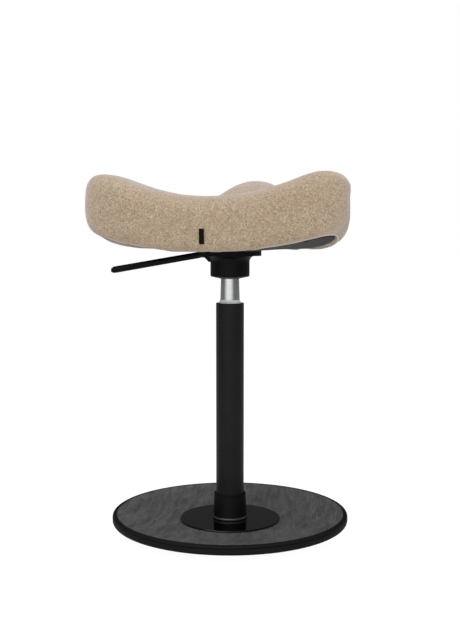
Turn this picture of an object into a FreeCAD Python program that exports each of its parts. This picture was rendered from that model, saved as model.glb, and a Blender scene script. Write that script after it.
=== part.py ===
import FreeCAD, Part
import math
import os
from FreeCAD import Vector as V

# Perch stool: a saddle seat on a gas-sprung column, over a dished round plate that can rock.
# Millimetres, Z up. The column stands on the Z axis, the seat's rear faces -Y, the floor is Z = 0.

# Clearances between pieces that fit each other
RUNNING_FIT = 0.05
SOFT_GAP = 0.3
BOLT_PLAY = 0.25

# Base plate, a moulded dish with a flat seat for the disc
PLATE_DIA = 365.0
PLATE_RIM_THICK = 15.0
PLATE_TOP_RADIUS = 1000.0
PLATE_UNDER_RADIUS = 1300.0
PLATE_RIM_TOP = 29.7
PLATE_TOP_EDGE = 4.5
PLATE_UNDER_EDGE = 6.0
PLATE_DISC_SEAT = 15.5
FLOOR_PAD_DIA = 172.0

# Steel disc and the sleeve that holds the column
DISC_DIA = 154.5
DISC_THICK = 4.0
DISC_EDGE = 0.8
SOCKET_TOP_DIA = 49.0
SOCKET_FOOT_DIA = 52.0
SOCKET_HEIGHT = 40.0
SOCKET_LIP = 1.0
BOLT_COUNT = 4
BOLT_CIRCLE_DIA = 76.0
BOLT_DIA = 6.0
BOLT_HEAD_DIA = 12.0
BOLT_HEAD_DEPTH = 3.4
BOLT_SINK = 0.6

# Column tube
TUBE_DIA = 43.0
TUBE_WALL = 3.0
TUBE_TOP = 355.0
TUBE_GROUND_CLEAR = 5.0
TUBE_EDGE = 1.0
END_PLATE_THICK = 4.0
BUSHING_LENGTH = 80.0
BUSHING_LIP_DIA = 35.0
BUSHING_LIP_EDGE = 0.8
BUSHING_NECK_WALL = 0.5
BUSHING_NECK_RISE = 4.5

# Gas spring
ROD_DIA = 10.0
ROD_CLIP_DIA = 18.0
ROD_CLIP_THICK = 1.5
ROD_TAIL = 2.0
BEARING_DIA = 30.0
RACE_THICK = 2.0
BALL_DIA = 3.5
BALL_COUNT = 12
BALL_CIRCLE_DIA = 21.0
CAGE_THICK = 1.6
BUMPER_DIA = 28.0
BUMPER_HEIGHT = 22.0
CYLINDER_DIA = 30.0
CYLINDER_WALL = 2.0
CYLINDER_BOTTOM_GAP = 0.4
CONE_FOOT = 360.0
CONE_TIP_DIA = 26.4
CONE_TOP = 420.0
GUIDE_HEIGHT = 12.0
SEAL_HEIGHT = 3.0
PISTON_HEIGHT = 14.0
PISTON_GROOVE = 4.0
LIFT_TRAVEL = 260.0
PISTON_RESERVE = 2.0
VALVE_HEIGHT = 20.0
PIN_DIA = 5.0
PIN_PROUD = 5.0
PIN_TRAVEL = 2.6
PIN_DEPTH = 12.0

# Hub under the seat, with its flange
HUB_DIA = 60.0
HUB_HEIGHT = 40.0
HUB_CORNER = 2.5
HUB_BELLY = 3.0
HUB_FILLET = 9.0
FLANGE_DIA = 96.0
FLANGE_THICK = 8.0
FLANGE_TOP = 435.0
SCREW_COUNT = 4
SCREW_CIRCLE_DIA = 86.0
SCREW_DIA = 5.0
SCREW_HEAD_DIA = 8.5
SCREW_HEAD_HEIGHT = 2.8
SCREW_BITE = 11.0
HUB_POCKET_DIA = 24.0

# Height lever: a steel arm on a cross pin, with a moulded grip on its outer part
LEVER_PIVOT = 30.0
LEVER_SWING_DEG = 4.5
LEVER_ARM_THICK = 5.0
LEVER_ARM_WIDTH = 12.0
LEVER_ARM_END = 120.0
LEVER_KNUCKLE = 4.4
LEVER_NOSE_DIA = 7.0
LEVER_SIDE_PLAY = 0.4
LEVER_PIN_DIA = 4.0
LEVER_CHEEK = 7.0
LEVER_REACH = 191.0
LEVER_BEND = 46.0
LEVER_DROP_DEG = 9.8
GRIP_START = 48.8
GRIP_ROOT_THICK = 10.0
GRIP_TIP_THICK = 10.5
GRIP_ROOT_WIDTH = 17.0
GRIP_TIP_WIDTH = 26.0
GRIP_TIP_ROUND = 3.5

# Seat outline in plan: two rear corners, one nose in front, and a hollow flank between them on each side
SEAT_HALF_WIDTH = 197.0
SEAT_REAR = 148.0
SEAT_REAR_BOW = 3.5
SEAT_FRONT = 202.0
SEAT_CORNER_RADIUS = 62.0
SEAT_NOSE_RADIUS = 95.0
SEAT_FLANK_RADIUS = 800.0

# Heights of the seat's top, and where across the seat they are reached
SEAT_BOTTOM = FLANGE_TOP
SEAT_DIP_TOP = 512.8
SEAT_WING_TOP = 547.0
SEAT_WING_AT = 171.0
SEAT_WING_TURN = 0.8
SEAT_WING_PLATEAU = 48.0
SEAT_THIGH_TOP = 494.0
SEAT_THIGH_AT = 90.0
SEAT_NOSE_TOP = 547.5
SEAT_NOSE_SPREAD = 104.0
SEAT_NOSE_TURN = 0.6
SEAT_NOSE_BACK = -40.0
SEAT_NOSE_CREST = 172.0
TOP_STEPS = 8
SEAT_CORNER_RISE = 23.0
SEAT_CORNER_TURN = 1.2
SEAT_FLANK_RISE = 7.0
SEAT_FLANK_TURN = 4.0
SEAT_RISE_AT = 165.0
SEAT_RISE_SPAN = 60.0

# Roundings of the upholstery
REAR_SHOULDER = 29.0
REAR_BULGE = 2.0
REAR_HEM = 7.0
FRONT_SHOULDER = 24.0
FRONT_HEM = 16.0
SIDE_ROUND = 26.0
SIDE_HEM = 43.0

# What lies in the pocket under the upholstery
POCKET_INSET = 22.0
BOARD_THICK = 10.0
COVER_THICK = 3.0
COVER_SCREW_SPOTS = ((140.0, -1.0), (112.0, 1.0), (40.0, 1.0))
COVER_SCREW_MARGIN = 12.0
COVER_SCREW_DIA = 4.0
COVER_SCREW_HEAD_DIA = 8.0
COVER_SCREW_HEAD_HEIGHT = 1.6
COVER_SCREW_BITE = 6.0
NUT_BARREL_DIA = 8.0
NUT_FLANGE_DIA = 18.0
NUT_FLANGE_THICK = 1.5

# Bare label at the rear
TAG_WIDTH = 7.0
TAG_HEIGHT = 21.5
TAG_THICK = 1.0
TAG_BOTTOM = 446.0

# Levels worked out from the sizes above
PLATE_RADIUS = PLATE_DIA / 2
PLATE_RIM = PLATE_RADIUS - PLATE_TOP_EDGE
PLATE_FOOT = PLATE_RADIUS - PLATE_UNDER_EDGE
PLATE_RIM_BOTTOM = PLATE_RIM_TOP - PLATE_RIM_THICK
DISC_TOP = PLATE_DISC_SEAT + DISC_THICK
TUBE_BOTTOM = DISC_TOP + TUBE_GROUND_CLEAR
TUBE_BORE = TUBE_DIA / 2 - TUBE_WALL
LOWER_RACE_BOTTOM = TUBE_BOTTOM + END_PLATE_THICK
BALL_LEVEL = LOWER_RACE_BOTTOM + RACE_THICK + BALL_DIA / 2
UPPER_RACE_BOTTOM = BALL_LEVEL + BALL_DIA / 2 + RUNNING_FIT
BUMPER_BOTTOM = UPPER_RACE_BOTTOM + RACE_THICK
CYLINDER_BOTTOM = BUMPER_BOTTOM + BUMPER_HEIGHT + CYLINDER_BOTTOM_GAP
CYLINDER_BORE = CYLINDER_DIA / 2 - CYLINDER_WALL
CONE_BORE = CONE_TIP_DIA / 2 - CYLINDER_WALL
GUIDE_BOTTOM = CYLINDER_BOTTOM + CYLINDER_WALL
SEAL_BOTTOM = GUIDE_BOTTOM + GUIDE_HEIGHT
PISTON_BOTTOM = SEAL_BOTTOM + SEAL_HEIGHT + LIFT_TRAVEL + PISTON_RESERVE
ROD_TOP = PISTON_BOTTOM + PISTON_HEIGHT
ROD_BOTTOM = TUBE_BOTTOM - ROD_CLIP_THICK - ROD_TAIL
PIN_BOTTOM = CONE_TOP - PIN_DEPTH
PIN_TOP = CONE_TOP + PIN_PROUD
LEVER_LEVEL = PIN_TOP + RUNNING_FIT + LEVER_NOSE_DIA / 2
FLANGE_BOTTOM = FLANGE_TOP - FLANGE_THICK
HUB_BOTTOM = FLANGE_TOP - HUB_HEIGHT
POCKET_DEPTH = COVER_THICK + BOARD_THICK + SOFT_GAP


def save(name, *solids):
    """Write one node; several solids stay separate in it."""
    shape = solids[0] if len(solids) == 1 else Part.makeCompound(list(solids))
    shape.exportStep("parts/" + name + ".step")


def flat_face(start, *steps):
    """Face in the XZ plane. A step is an end point, or a middle point and an end point of an arc."""
    edges = []
    here = V(start[0], 0, start[1])
    for step in steps + (start,):
        if isinstance(step[0], tuple):
            middle = V(step[0][0], 0, step[0][1])
            end = V(step[1][0], 0, step[1][1])
            edges.append(Part.Arc(here, middle, end).toShape())
        else:
            end = V(step[0], 0, step[1])
            edges.append(Part.LineSegment(here, end).toShape())
        here = end
    return Part.Face(Part.Wire(edges))


def turned(start, *steps):
    """Body turned about the Z axis from an outline of radius and height."""
    return flat_face(start, *steps).revolve(V(0, 0, 0), V(0, 0, 1), 360)


def rod(diameter, bottom, top, x=0.0, y=0.0):
    """Upright cylinder between two levels."""
    return Part.makeCylinder(diameter / 2, top - bottom, V(x, y, bottom))


def ring(outer_dia, inner_dia, bottom, top):
    """Upright tube between two levels."""
    return rod(outer_dia, bottom, top).cut(rod(inner_dia, bottom, top))


def cone(low_dia, high_dia, bottom, top):
    """Upright cone between two levels."""
    return Part.makeCone(low_dia / 2, high_dia / 2, top - bottom, V(0, 0, bottom))


def around(count, circle_dia, start_deg):
    """Places evenly spaced on a circle about the Z axis."""
    angles = [math.radians(start_deg + 360.0 * i / count) for i in range(count)]
    return [(circle_dia / 2 * math.cos(a), circle_dia / 2 * math.sin(a)) for a in angles]


def joined(solids):
    """Solids made into one."""
    whole = solids[0]
    for solid in solids[1:]:
        whole = whole.fuse(solid)
    return whole.removeSplitter()


# Base

def dish(radius, sphere_radius, rim_radius, rim_level):
    """Height of a dished face at a distance from the axis."""
    depth = math.sqrt(sphere_radius ** 2 - rim_radius ** 2) - math.sqrt(sphere_radius ** 2 - radius ** 2)
    return rim_level + depth


def plate_top(radius):
    """Height of the plate's upper face."""
    return dish(radius, PLATE_TOP_RADIUS, PLATE_RIM, PLATE_RIM_TOP)


def plate_under(radius):
    """Height of the plate's lower face."""
    return dish(radius, PLATE_UNDER_RADIUS, PLATE_FOOT, PLATE_RIM_BOTTOM)


def bolt_levels():
    """Level of the bolt heads' lower face, and of the bolts' ends in the disc."""
    head = plate_under(BOLT_CIRCLE_DIA / 2) + BOLT_SINK
    return head, DISC_TOP - DISC_EDGE


def bolt_shape(x, y, play):
    """One countersunk bolt from below, or the hole for it where there is play."""
    head, end = bolt_levels()
    sink = head + BOLT_HEAD_DEPTH
    shank = rod(BOLT_DIA + 2 * play, sink, end, x, y)
    wide = BOLT_HEAD_DIA / 2 + play
    taper = Part.makeCone(wide, BOLT_DIA / 2 + play, BOLT_HEAD_DEPTH, V(x, y, head))
    body = shank.fuse(taper)
    if play:
        body = body.fuse(rod(2 * wide, 0, head, x, y))
    return body.removeSplitter()


def base_plate():
    """Dished round plate with a rounded rim, a flat seat for the disc and the bolt holes."""
    nick = 1 - math.sqrt(0.5)
    upper = (PLATE_RADIUS - PLATE_TOP_EDGE * nick, PLATE_RIM_TOP - PLATE_TOP_EDGE * nick)
    lower = (PLATE_RADIUS - PLATE_UNDER_EDGE * nick, PLATE_RIM_BOTTOM + PLATE_UNDER_EDGE * nick)
    middle = PLATE_RIM / 2
    plate = turned(
        (0, plate_under(0)), ((middle, plate_under(middle)), (PLATE_FOOT, PLATE_RIM_BOTTOM)),
        (lower, (PLATE_RADIUS, PLATE_RIM_BOTTOM + PLATE_UNDER_EDGE)), (PLATE_RADIUS, PLATE_RIM_TOP - PLATE_TOP_EDGE),
        (upper, (PLATE_RIM, PLATE_RIM_TOP)), ((middle, plate_top(middle)), (0, plate_top(0))))
    seat_dia = DISC_DIA + 2 * BOLT_PLAY
    plate = plate.fuse(rod(seat_dia, plate_under(seat_dia / 2), PLATE_DISC_SEAT))
    plate = plate.cut(rod(seat_dia, PLATE_DISC_SEAT, PLATE_RIM_TOP))
    for x, y in around(BOLT_COUNT, BOLT_CIRCLE_DIA, 45):
        plate = plate.cut(bolt_shape(x, y, BOLT_PLAY))
    return plate.removeSplitter()


def floor_pad():
    """Rubber pad that follows the plate's lower face and is flat on the floor."""
    outer = FLOOR_PAD_DIA / 2
    return turned((0, 0), (outer, 0), (outer, plate_under(outer)),
                  ((outer / 2, plate_under(outer / 2)), (0, plate_under(0))))


def base_disc():
    """Steel disc with a broken top edge and blind threads for the bolts."""
    radius = DISC_DIA / 2
    corner = (radius - DISC_EDGE * (1 - math.sqrt(0.5)), DISC_TOP - DISC_EDGE * (1 - math.sqrt(0.5)))
    disc = turned((0, PLATE_DISC_SEAT), (radius, PLATE_DISC_SEAT), (radius, DISC_TOP - DISC_EDGE),
                  (corner, (radius - DISC_EDGE, DISC_TOP)), (0, DISC_TOP))
    for x, y in around(BOLT_COUNT, BOLT_CIRCLE_DIA, 45):
        disc = disc.cut(bolt_shape(x, y, 0))
    return disc


def column_socket():
    """Sleeve on the disc, wider at its foot, with a raised lip at its top."""
    bore = TUBE_DIA / 2
    foot = SOCKET_FOOT_DIA / 2
    top = SOCKET_TOP_DIA / 2
    level = DISC_TOP + SOCKET_HEIGHT
    return turned((bore, DISC_TOP), (foot + SOCKET_LIP, DISC_TOP), (foot + SOCKET_LIP, DISC_TOP + SOCKET_LIP),
                  (foot, DISC_TOP + 2 * SOCKET_LIP), (top, level - 4 * SOCKET_LIP),
                  (top - SOCKET_LIP / 2, level - 3.5 * SOCKET_LIP), (top - SOCKET_LIP / 2, level - 3 * SOCKET_LIP),
                  (top, level - 2.5 * SOCKET_LIP), (top, level - SOCKET_LIP), (top - SOCKET_LIP, level),
                  (bore, level))


def column_tube():
    """Outer tube of the column, with rounded ends outside."""
    outer = TUBE_DIA / 2
    soft = TUBE_EDGE * (1 - math.sqrt(0.5))
    return turned((TUBE_BORE, TUBE_BOTTOM), (outer, TUBE_BOTTOM), (outer, TUBE_TOP - TUBE_EDGE),
                  ((outer - soft, TUBE_TOP - soft), (outer - TUBE_EDGE, TUBE_TOP)), (TUBE_BORE, TUBE_TOP))


def guide_bushing():
    """Bushing in the tube's mouth, with a lip on the tube that flares out from a thin neck."""
    bore = CYLINDER_DIA / 2 + RUNNING_FIT
    lip = BUSHING_LIP_DIA / 2
    neck = bore + BUSHING_NECK_WALL
    lip_top = TUBE_TOP + BUSHING_LIP_EDGE
    top = TUBE_TOP + BUSHING_NECK_RISE
    near = 1 - math.sqrt(0.5)
    hollow = (neck + (lip - neck) * near, lip_top + (top - lip_top) * near)
    return turned((bore, TUBE_TOP - BUSHING_LENGTH), (TUBE_BORE, TUBE_TOP - BUSHING_LENGTH),
                  (TUBE_BORE, TUBE_TOP), (lip, TUBE_TOP), (lip, lip_top), (hollow, (neck, top)), (bore, top))


def make_base():
    """Everything that stays with the floor."""
    hole = ROD_DIA + 2 * RUNNING_FIT
    balls = around(BALL_COUNT, BALL_CIRCLE_DIA, 0)
    cage_half = CAGE_THICK / 2
    cage = ring(BEARING_DIA - RACE_THICK, hole + RACE_THICK, BALL_LEVEL - cage_half, BALL_LEVEL + cage_half)
    for x, y in balls:
        cage = cage.cut(rod(BALL_DIA + 2 * RUNNING_FIT, BALL_LEVEL - BALL_DIA, BALL_LEVEL + BALL_DIA, x, y))
    race_top = LOWER_RACE_BOTTOM + RACE_THICK
    save("base_plate", base_plate())
    save("floor_pad", floor_pad())
    save("base_disc", base_disc())
    save("base_bolts", *[bolt_shape(x, y, 0) for x, y in around(BOLT_COUNT, BOLT_CIRCLE_DIA, 45)])
    save("column_socket", column_socket())
    save("column_tube", column_tube())
    save("tube_end_plate", ring(2 * TUBE_BORE, hole, TUBE_BOTTOM, LOWER_RACE_BOTTOM))
    save("bearing_lower_race", ring(BEARING_DIA, hole, LOWER_RACE_BOTTOM, race_top))
    save("bearing_cage", cage)
    save("bearing_balls", *[Part.makeSphere(BALL_DIA / 2, V(x, y, BALL_LEVEL)) for x, y in balls])
    save("guide_bushing", guide_bushing())


# Rod and piston, which turn with the seat but don't rise

def make_rotor():
    """Rod, what is fixed to it, and the clip that holds it in the column's end plate."""
    groove = (PISTON_HEIGHT - PISTON_GROOVE) / 2
    piston_dia = 2 * (CYLINDER_BORE - RUNNING_FIT)
    groove_dia = piston_dia - PISTON_GROOVE
    piston = ring(piston_dia, ROD_DIA, PISTON_BOTTOM, ROD_TOP)
    groove_low = PISTON_BOTTOM + groove
    groove_high = groove_low + PISTON_GROOVE
    piston = piston.cut(ring(piston_dia + 1, groove_dia, groove_low, groove_high))
    clip_top = TUBE_BOTTOM - RUNNING_FIT
    save("piston_rod", rod(ROD_DIA, ROD_BOTTOM, ROD_TOP))
    save("piston", piston)
    save("piston_ring", ring(piston_dia, groove_dia, groove_low, groove_high))
    save("bearing_upper_race", ring(BEARING_DIA, ROD_DIA, UPPER_RACE_BOTTOM, BUMPER_BOTTOM))
    save("rod_bumper", ring(BUMPER_DIA, ROD_DIA, BUMPER_BOTTOM, BUMPER_BOTTOM + BUMPER_HEIGHT))
    save("rod_clip", ring(ROD_CLIP_DIA, ROD_DIA, clip_top - ROD_CLIP_THICK, clip_top))


# Pressure cylinder with its valve

def cone_dia(level):
    """Outer diameter of the cylinder's cone at a level."""
    share = (level - CONE_FOOT) / (CONE_TOP - CONE_FOOT)
    return CYLINDER_DIA + (CONE_TIP_DIA - CYLINDER_DIA) * share


def pressure_cylinder():
    """Tube with a turned-in foot, a stepped bore and a cone for the hub."""
    outer = CYLINDER_DIA / 2
    mouth = ROD_DIA / 2 + CYLINDER_WALL
    shoulder = CONE_FOOT - 2 * CYLINDER_WALL
    return turned((mouth, CYLINDER_BOTTOM), (outer, CYLINDER_BOTTOM), (outer, CONE_FOOT),
                  (CONE_TIP_DIA / 2, CONE_TOP), (CONE_BORE, CONE_TOP), (CONE_BORE, shoulder + CYLINDER_WALL),
                  (CYLINDER_BORE, shoulder), (CYLINDER_BORE, GUIDE_BOTTOM), (mouth, GUIDE_BOTTOM))


def make_cylinder():
    """Pressure cylinder, its rod guide and seal, the valve body and the valve's pin."""
    slide = ROD_DIA + 2 * RUNNING_FIT
    bore = 2 * CYLINDER_BORE
    pin_hole = PIN_DIA + 2 * RUNNING_FIT
    valve = rod(2 * CONE_BORE, CONE_TOP - VALVE_HEIGHT, CONE_TOP)
    valve = valve.cut(rod(pin_hole, PIN_BOTTOM - PIN_TRAVEL - SOFT_GAP, CONE_TOP))
    save("pressure_cylinder", pressure_cylinder())
    save("rod_guide", ring(bore, slide, GUIDE_BOTTOM, SEAL_BOTTOM))
    save("rod_seal", ring(bore, slide, SEAL_BOTTOM, SEAL_BOTTOM + SEAL_HEIGHT))
    save("valve_body", valve)
    save("release_pin", rod(PIN_DIA, PIN_BOTTOM, PIN_TOP))


# Hub and lever

def hub_body():
    """Round hub with a hollow fillet into its flange, and a gusset that carries the lever's pin."""
    radius = HUB_DIA / 2
    inner = (HUB_BOTTOM, cone_dia(HUB_BOTTOM - HUB_BELLY) / 2)
    bend = radius + HUB_FILLET
    soft = HUB_FILLET * math.sqrt(0.5)
    nick = HUB_CORNER * (1 - math.sqrt(0.5))
    belly_end = radius - HUB_CORNER
    hub = turned((0, HUB_BOTTOM - HUB_BELLY), (inner[1], HUB_BOTTOM - HUB_BELLY), (belly_end, HUB_BOTTOM),
                 ((radius - nick, HUB_BOTTOM + nick), (radius, HUB_BOTTOM + HUB_CORNER)),
                 (radius, FLANGE_BOTTOM - HUB_FILLET),
                 ((bend - soft, FLANGE_BOTTOM - HUB_FILLET + soft), (bend, FLANGE_BOTTOM)),
                 (FLANGE_DIA / 2, FLANGE_BOTTOM), (FLANGE_DIA / 2, FLANGE_TOP), (0, FLANGE_TOP))
    half = LEVER_ARM_WIDTH / 2 + LEVER_SIDE_PLAY + LEVER_CHEEK
    slope = HUB_FILLET + LEVER_SIDE_PLAY
    gusset = flat_face((-radius - slope, FLANGE_BOTTOM), (-radius, FLANGE_BOTTOM - slope),
                       (-radius + slope, FLANGE_BOTTOM - slope), (-radius + slope, FLANGE_TOP),
                       (-radius - slope, FLANGE_TOP))
    gusset.translate(V(0, half, 0))
    return joined([hub, gusset.extrude(V(0, -2 * half, 0))])


def seat_hub():
    """Hub with its tapered bore, the lever's slot, and the holes for pin and screws."""
    hub = hub_body()
    hub = hub.cut(cone(cone_dia(HUB_BOTTOM - HUB_BELLY), CONE_TIP_DIA, HUB_BOTTOM - HUB_BELLY, CONE_TOP))
    hub = hub.cut(rod(HUB_POCKET_DIA, CONE_TOP, FLANGE_TOP))
    slot_half = LEVER_ARM_WIDTH / 2 + LEVER_SIDE_PLAY
    slot = Part.makeBox(FLANGE_DIA, 2 * slot_half, FLANGE_TOP - CONE_TOP, V(-FLANGE_DIA, -slot_half, CONE_TOP))
    hub = hub.cut(slot)
    hub = hub.cut(lever_pin())
    for x, y in around(SCREW_COUNT, SCREW_CIRCLE_DIA, 45):
        hub = hub.cut(rod(SCREW_DIA + 2 * BOLT_PLAY, HUB_BOTTOM, FLANGE_TOP, x, y))
        hub = hub.cut(rod(SCREW_HEAD_DIA + 2 * BOLT_PLAY, HUB_BOTTOM, FLANGE_BOTTOM + SCREW_HEAD_HEIGHT, x, y))
    return hub


def lever_pin():
    """Cross pin that the lever turns on."""
    length = LEVER_ARM_WIDTH + 2 * (LEVER_SIDE_PLAY + LEVER_CHEEK)
    return Part.makeCylinder(LEVER_PIN_DIA / 2, length, V(-LEVER_PIVOT, -length / 2, LEVER_LEVEL), V(0, 1, 0))


def lever_line(reach):
    """Height of the lever's middle line at a distance from the column's axis."""
    return LEVER_LEVEL - max(0.0, reach - LEVER_BEND) * math.tan(math.radians(LEVER_DROP_DEG))


def lever_arm():
    """Steel arm from the nose over the valve pin, past the cross pin and a knuckle, down into the grip."""
    half = LEVER_ARM_THICK / 2
    width = LEVER_ARM_WIDTH
    end = lever_line(LEVER_ARM_END)
    inside = GRIP_START + GRIP_ROOT_THICK
    face = flat_face((0, LEVER_LEVEL + half), (-LEVER_BEND, LEVER_LEVEL + half), (-LEVER_ARM_END, end + half),
                     (-LEVER_ARM_END, end - half), (-inside, lever_line(inside) - half),
                     (-GRIP_START, lever_line(GRIP_START) - LEVER_KNUCKLE + LEVER_SIDE_PLAY),
                     (-LEVER_PIVOT - LEVER_PIN_DIA, LEVER_LEVEL - LEVER_KNUCKLE), (-LEVER_PIVOT, LEVER_LEVEL - half),
                     (0, LEVER_LEVEL - half))
    face.translate(V(0, width / 2, 0))
    arm = face.extrude(V(0, -width, 0))
    nose = Part.makeCylinder(LEVER_NOSE_DIA / 2, width, V(0, -width / 2, LEVER_LEVEL), V(0, 1, 0))
    hole = Part.makeCylinder(LEVER_PIN_DIA / 2 + RUNNING_FIT, width, V(-LEVER_PIVOT, -width / 2, LEVER_LEVEL),
                             V(0, 1, 0))
    return joined([arm, nose]).cut(hole)


def grip_section(reach, width, thick):
    """Rounded section of the grip, square to the X axis."""
    level = lever_line(reach)
    half = width / 2
    high = thick / 2
    flat = half - high
    bend = high * 0.98
    corners = [V(-reach, flat, level + bend), V(-reach, -flat, level + bend),
               V(-reach, -flat, level - bend), V(-reach, flat, level - bend)]
    near = V(-reach, -half, level)
    far = V(-reach, half, level)
    return Part.Wire([Part.LineSegment(corners[0], corners[1]).toShape(),
                      Part.Arc(corners[1], near, corners[2]).toShape(),
                      Part.LineSegment(corners[2], corners[3]).toShape(),
                      Part.Arc(corners[3], far, corners[0]).toShape()])


def lever_grip():
    """Moulded grip, wider and thinner towards its rounded tip, with a slot for the arm."""
    tip = LEVER_REACH - GRIP_TIP_ROUND
    sections = [grip_section(GRIP_START, GRIP_ROOT_WIDTH, GRIP_ROOT_THICK),
                grip_section(tip, GRIP_TIP_WIDTH, GRIP_TIP_THICK),
                grip_section(LEVER_REACH, GRIP_TIP_WIDTH - GRIP_TIP_ROUND, GRIP_TIP_THICK - GRIP_TIP_ROUND)]
    return Part.makeLoft(sections, True, True).cut(lever_arm())


def make_hub():
    """Hub, its screws, and the lever on its pin."""
    screws = []
    for x, y in around(SCREW_COUNT, SCREW_CIRCLE_DIA, 45):
        head = rod(SCREW_HEAD_DIA, FLANGE_BOTTOM, FLANGE_BOTTOM + SCREW_HEAD_HEIGHT, x, y)
        shank = rod(SCREW_DIA, FLANGE_BOTTOM, FLANGE_TOP + SCREW_BITE, x, y)
        screws.append(head.fuse(shank).removeSplitter())
    save("seat_hub", seat_hub())
    save("hub_screws", *screws)
    save("lever_pin", lever_pin())
    save("lever_arm", lever_arm())
    save("lever_grip", lever_grip())


# Seat

def ease(share, turn):
    """Rise from 0 to 1 in two curves that meet where share is turn."""
    share = min(max(share, 0.0), 1.0)
    if share < turn:
        return share ** 2 / turn
    return 1 - (1 - share) ** 2 / (1 - turn)


def round_off(x, radius):
    """How far an edge of this radius has turned in at a distance from the seat's middle."""
    past = max(0.0, abs(x) - (SEAT_HALF_WIDTH - radius))
    return radius - math.sqrt(max(0.0, radius ** 2 - past ** 2))


def plan(x, inset=0.0):
    """Rear and front Y of the seat's outline at a distance from its middle, drawn in by an inset."""
    x = abs(x)
    corner_x = SEAT_HALF_WIDTH - SEAT_CORNER_RADIUS
    corner_y = SEAT_CORNER_RADIUS - SEAT_REAR + SEAT_REAR_BOW
    corner = SEAT_CORNER_RADIUS - inset
    nose_y = SEAT_FRONT - SEAT_NOSE_RADIUS
    nose = SEAT_NOSE_RADIUS - inset
    flank = SEAT_FLANK_RADIUS + inset
    span = math.hypot(corner_x, nose_y - corner_y)
    from_corner = flank + corner
    from_nose = flank + nose
    along = (from_corner ** 2 - from_nose ** 2 + span ** 2) / (2 * span)
    aside = math.sqrt(from_corner ** 2 - along ** 2)
    flank_x = corner_x + (-corner_x * along + (nose_y - corner_y) * aside) / span
    flank_y = corner_y + ((nose_y - corner_y) * along + corner_x * aside) / span
    bulge = math.sqrt(max(0.0, corner ** 2 - max(0.0, x - corner_x) ** 2))
    if x >= corner_x + (flank_x - corner_x) * corner / from_corner:
        front = corner_y + bulge
    elif x > flank_x * nose / from_nose:
        front = flank_y - math.sqrt(flank ** 2 - (x - flank_x) ** 2)
    else:
        front = nose_y + math.sqrt(nose ** 2 - x ** 2)
    bow = SEAT_REAR_BOW * max(0.0, 1 - (x / corner_x) ** 2)
    return corner_y - bulge - bow, front


def underside(x, y):
    """Height of the seat's lower face: level over the flange, raised at its flanks and rear corners."""
    rear, front = plan(x)
    share = 1 - (y - rear) / max(front - rear, SEAT_RISE_SPAN)
    level_half = FLANGE_DIA / 2
    out = min(1.0, max(0.0, abs(x) - level_half) / (SEAT_RISE_AT - level_half))
    at_corner = SEAT_CORNER_RISE * share * out ** SEAT_CORNER_TURN
    at_flank = SEAT_FLANK_RISE * (1 - share) * out ** SEAT_FLANK_TURN
    return SEAT_BOTTOM + round_off(x, SIDE_HEM) + at_corner + at_flank


def seat_top(x, y):
    """Height of the seat's upper face: wings at the rear, level thighs and a raised nose."""
    out = abs(x) / SEAT_NOSE_SPREAD
    ridge = SEAT_DIP_TOP + (SEAT_WING_TOP - SEAT_DIP_TOP) * ease(abs(x) / SEAT_WING_AT, SEAT_WING_TURN)
    plateau = SEAT_WING_PLATEAU * ease(out, 0.5)
    ridge_end = REAR_SHOULDER + plateau - SEAT_REAR
    fall = ease((y - ridge_end) / (SEAT_THIGH_AT - ridge_end), 0.5)
    climb = ease((y - SEAT_NOSE_BACK) / (SEAT_NOSE_CREST - SEAT_NOSE_BACK), 0.5)
    hill = climb * (1 - ease(out, SEAT_NOSE_TURN))
    return (ridge - (ridge - SEAT_THIGH_TOP) * fall + (SEAT_NOSE_TOP - SEAT_THIGH_TOP) * hill
            - round_off(x, SIDE_ROUND))


def seat_section(x):
    """Closed outline of the upholstery, square to the X axis."""
    rear, front = plan(x)
    length = front - rear
    low_rear = underside(x, rear)
    low_front = underside(x, front)
    rear_height = seat_top(x, rear) - low_rear
    front_height = seat_top(x, front) - low_front
    shoulder = min(REAR_SHOULDER, 0.3 * length, 0.5 * rear_height)
    hem = min(REAR_HEM, 0.12 * length, 0.2 * rear_height)
    brow = min(FRONT_SHOULDER, 0.3 * length, 0.45 * front_height)
    tuck = min(FRONT_HEM, 0.2 * length, 0.3 * front_height)
    wall = rear + REAR_BULGE * min(1.0, length / SEAT_CORNER_RADIUS)
    top_start = wall + shoulder
    top_end = front - brow
    ridge = seat_top(x, top_start)
    edge = seat_top(x, top_end)
    step = (top_end - top_start) / TOP_STEPS
    tops = [V(x, top_start + step * i, seat_top(x, top_start + step * i)) for i in range(TOP_STEPS + 1)]
    top_curve = Part.BSplineCurve()
    top_curve.interpolate(Points=tops, InitialTangent=V(0, 1, 0), FinalTangent=V(0, 1, 0))
    corner = 1 - math.sqrt(0.5)

    def bend(start, middle, end):
        return Part.Arc(V(x, *start), V(x, *middle), V(x, *end)).toShape()

    return Part.Wire([
        bend((wall + hem, low_rear), (wall + hem * corner, low_rear + hem * corner), (wall, low_rear + hem)),
        bend((wall, low_rear + hem), (rear, (low_rear + hem + ridge - shoulder) / 2), (wall, ridge - shoulder)),
        bend((wall, ridge - shoulder), (wall + shoulder * corner, ridge - shoulder * corner), (top_start, ridge)),
        top_curve.toShape(),
        bend((top_end, edge), (front - brow * corner, edge - brow * corner), (front, edge - brow)),
        Part.makeLine(V(x, front, edge - brow), V(x, front, low_front + tuck)),
        bend((front, low_front + tuck), (front - tuck * corner, low_front + tuck * corner),
             (front - tuck, low_front)),
        Part.makeLine(V(x, front - tuck, low_front), V(x, wall + hem, low_rear))])


def stations(half_width, last_deg, steps):
    """Distances from the seat's middle, closer together towards its two ends."""
    angles = [math.radians(last_deg * i / steps) for i in range(-steps, steps + 1)]
    return [half_width * math.sin(a) for a in angles]


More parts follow.
